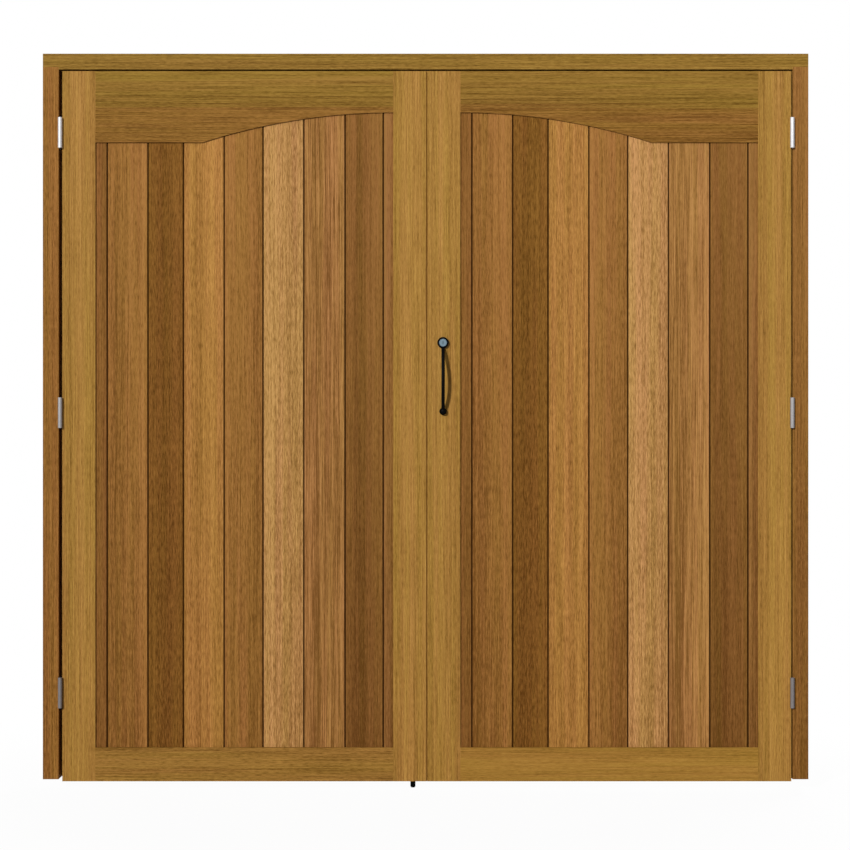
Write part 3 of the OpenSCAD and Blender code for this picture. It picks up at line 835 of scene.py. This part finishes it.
class GD_OT_hinge_screws(bpy.types.Operator):
    """Sets the screws in the hinge flaps"""

    bl_idname = "garage_door.hinge_screws"
    bl_label = "Hinge screws"

    def execute(self, context):
        metal = context.scene.gd_metal
        head = screw_head(metal.hinge_screw, metal.hinge_screw_height)
        steel = bpy.data.materials["hinge_steel"]
        for side in SIDES:
            for kind, body in (("jamb", "frame"), ("door", f"{side}_leaf")):
                rightwards = (side == "left") == (kind == "jamb")
                facing = (1 if rightwards else -1, 0, 0)
                places = []
                for hinge in HINGES:
                    node = f"{side}_{hinge}_{kind}_flap"
                    low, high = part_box(node)
                    face = self.open_face(node, rightwards)
                    for row, share in enumerate(FLAP_ROWS):
                        y = high[1] - FLAP_SETBACKS[row % 2]
                        z = low[2] + (high[2] - low[2]) * share
                        places.append(((face, y, z), facing, FLAP_TURN * row))
                name = f"{side}_{kind}_hinge_screws"
                set_screws(name, head, places, body, steel)
        bpy.data.objects.remove(head)
        return {"FINISHED"}

    def open_face(self, node, rightwards):
        """The x of a flap's open face, read from the flap's own points behind the knuckle."""
        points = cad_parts[node].data.vertices
        xs = [point.co.x for point in points if point.co.y > KNUCKLE_BACK]
        if not xs:
            raise RuntimeError(f"no flap behind the knuckle of {node}")
        return max(xs) if rightwards else min(xs)


class GD_OT_plate_screws(bpy.types.Operator):
    """Sets the screws in the bolt guides, the latch case and its keep"""

    bl_idname = "garage_door.plate_screws"
    bl_label = "Plate screws"

    def execute(self, context):
        metal = context.scene.gd_metal
        head = screw_head(metal.plate_screw, metal.plate_screw_height)
        iron = bpy.data.materials["black_iron"]
        places = self.guide_places("bottom_bolt_guide") + self.guide_places("top_bolt_guide")
        low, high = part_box("latch_keep")
        middle = (low[0] + high[0]) / 2
        for z in (low[2] + CORNER_INSET, high[2] - CORNER_INSET):
            places.append(((middle, high[1], z), INSIDE, KEEP_TURN))
        set_screws("left_plate_screws", head, places, "left_leaf", iron)
        low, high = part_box("latch_case")
        places = []
        for x in (low[0] + CORNER_INSET, high[0] - CORNER_INSET):
            for z in (low[2] + CORNER_INSET, high[2] - CORNER_INSET):
                places.append(((x, high[1], z), INSIDE, CASE_TURN))
        set_screws("right_plate_screws", head, places, "right_leaf", iron)
        bpy.data.objects.remove(head)
        return {"FINISHED"}

    def guide_places(self, guide):
        """Four screws about the middle of a bolt guide, and two at one end."""
        low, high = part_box(guide)
        face = low[1] + GUIDE_PLATE
        middle = (low[2] + high[2]) / 2
        places = []
        for way in (1, -1):
            for x in (low[0] + GUIDE_INSET, high[0] - GUIDE_INSET):
                places.append(((x, face, middle + GUIDE_ROW * way), INSIDE, GUIDE_TURN * way))
        end = high[2] - BOTTOM_GUIDE_END
        if guide == "top_bolt_guide":
            end = low[2] + TOP_GUIDE_END
        for x in (low[0] + CORNER_INSET, high[0] - CORNER_INSET):
            places.append(((x, face, end), INSIDE, GUIDE_END_TURN))
        return places


class GD_OT_stage(bpy.types.Operator):
    """Sets the floor, the backdrop, the lights and the camera"""

    bl_idname = "garage_door.stage"
    bl_label = "Stage"

    def execute(self, context):
        scene = context.scene
        stage = scene.gd_stage
        scene.view_settings.view_transform = "Standard"
        self.floor()
        self.backdrop(scene, stage.fill)
        sun = {"energy": stage.key, "angle": math.radians(3.0)}
        self.lamp("key", "SUN", (-3.0, -5.0, 4.0), (0.52, 1.0, -0.42), sun)
        panel = {"energy": stage.top, "shape": "RECTANGLE", "size": 3.4, "size_y": 1.6}
        self.lamp("top", "AREA", (0.0, -2.2, 4.2), (0.0, 2.2, -2.6), panel)
        square = {"energy": stage.back, "size": 3.0}
        self.lamp("back", "AREA", (2.4, 3.2, 2.6), (-2.0, -3.2, -1.5), square)
        free_hands()
        eye = (CAMERA_SIDE, -stage.distance, stage.view_height)
        bpy.ops.object.camera_add(location=eye, rotation=(math.pi / 2, 0, 0))
        camera = context.object
        camera.data.sensor_width = SENSOR
        camera.data.lens = SENSOR * stage.distance / stage.view_width
        camera.data.clip_end = CAMERA_REACH
        scene.camera = camera
        return {"FINISHED"}

    def floor(self):
        """A pale floor that looks white and keeps the doors' shadow close to them."""
        free_hands()
        level = CAD_BOX[0][2] - FLOOR_GAP
        bpy.ops.mesh.primitive_plane_add(size=FLOOR_SIZE, location=(0, 0, level))
        floor = bpy.context.object
        floor.name = "floor"
        finish = Finish("pale_floor")
        x, y = finish.place()[:2]
        far = ((x ** 2.0 + y ** 2.0) ** 0.5).step(FADE_START, FADE_END)
        white = finish.seen() * (FLOOR_WHITE + far * (1.0 - FLOOR_WHITE))
        matt = finish.shader({"Base Color": FLOOR_TONE, "Roughness": 0.9})
        glow = finish.add("ShaderNodeEmission", None, {"Color": WHITE, "Strength": 1.0})
        shader = finish.add("ShaderNodeMixShader", None, {0: white, 1: matt, 2: glow})
        floor.data.materials.append(finish.done(shader))

    def backdrop(self, scene, fill):
        """A world that looks white and lights the doors only as far as fill says."""
        scene.world = bpy.data.worlds.new("studio")
        sky = Graph(scene.world)
        strength = fill + sky.seen() * (1.0 - fill)
        shader = sky.add("ShaderNodeBackground", None, {"Color": WHITE, "Strength": strength})
        sky.add("ShaderNodeOutputWorld", None, {"Surface": shader})

    def lamp(self, name, kind, place, aim, settings):
        """Adds a lamp at a place, shining along aim."""
        free_hands()
        bpy.ops.object.light_add(type=kind, location=place)
        lamp = bpy.context.object
        lamp.name = name
        lamp.rotation_euler = Vector(aim).to_track_quat("-Z", "Y").to_euler()
        for key, value in settings.items():
            setattr(lamp.data, key, value)


class GD_PT_panel(bpy.types.Panel):
    """Lists the settings and the steps that finish the doors"""

    bl_idname = "GD_PT_panel"
    bl_label = "Garage Doors"
    bl_space_type = "VIEW_3D"
    bl_region_type = "UI"
    bl_category = "Garage Doors"

    def draw(self, context):
        layout = self.layout
        for name in SETTINGS:
            group = getattr(context.scene, name)
            box = layout.box()
            for key in group.bl_rna.properties.keys():
                if key not in ("rna_type", "name"):
                    box.prop(group, key)
        for operator in STEPS:
            layout.operator(operator.bl_idname)


SETTINGS = {
    "gd_timber": GD_TimberSettings,
    "gd_boards": GD_BoardSettings,
    "gd_metal": GD_MetalSettings,
    "gd_stage": GD_StageSettings,
}
STEPS = (
    GD_OT_frame_timber,
    GD_OT_leaf_timber,
    GD_OT_board_timber,
    GD_OT_ironwork,
    GD_OT_meeting_seal,
    GD_OT_hinge_screws,
    GD_OT_plate_screws,
    GD_OT_stage,
)
CLASSES = (*SETTINGS.values(), *STEPS, GD_PT_panel)


def register():
    for item in CLASSES:
        bpy.utils.register_class(item)
    for name, group in SETTINGS.items():
        setattr(bpy.types.Scene, name, bpy.props.PointerProperty(type=group))


def unregister():
    for name in SETTINGS:
        delattr(bpy.types.Scene, name)
    for item in reversed(CLASSES):
        bpy.utils.unregister_class(item)


def main():
    register()
    bpy.ops.garage_door.frame_timber()
    bpy.ops.garage_door.leaf_timber()
    bpy.ops.garage_door.board_timber()
    bpy.ops.garage_door.ironwork()
    bpy.ops.garage_door.meeting_seal()
    bpy.ops.garage_door.hinge_screws()
    bpy.ops.garage_door.plate_screws()
    bpy.ops.garage_door.stage()


if __name__ == "__main__":
    main()
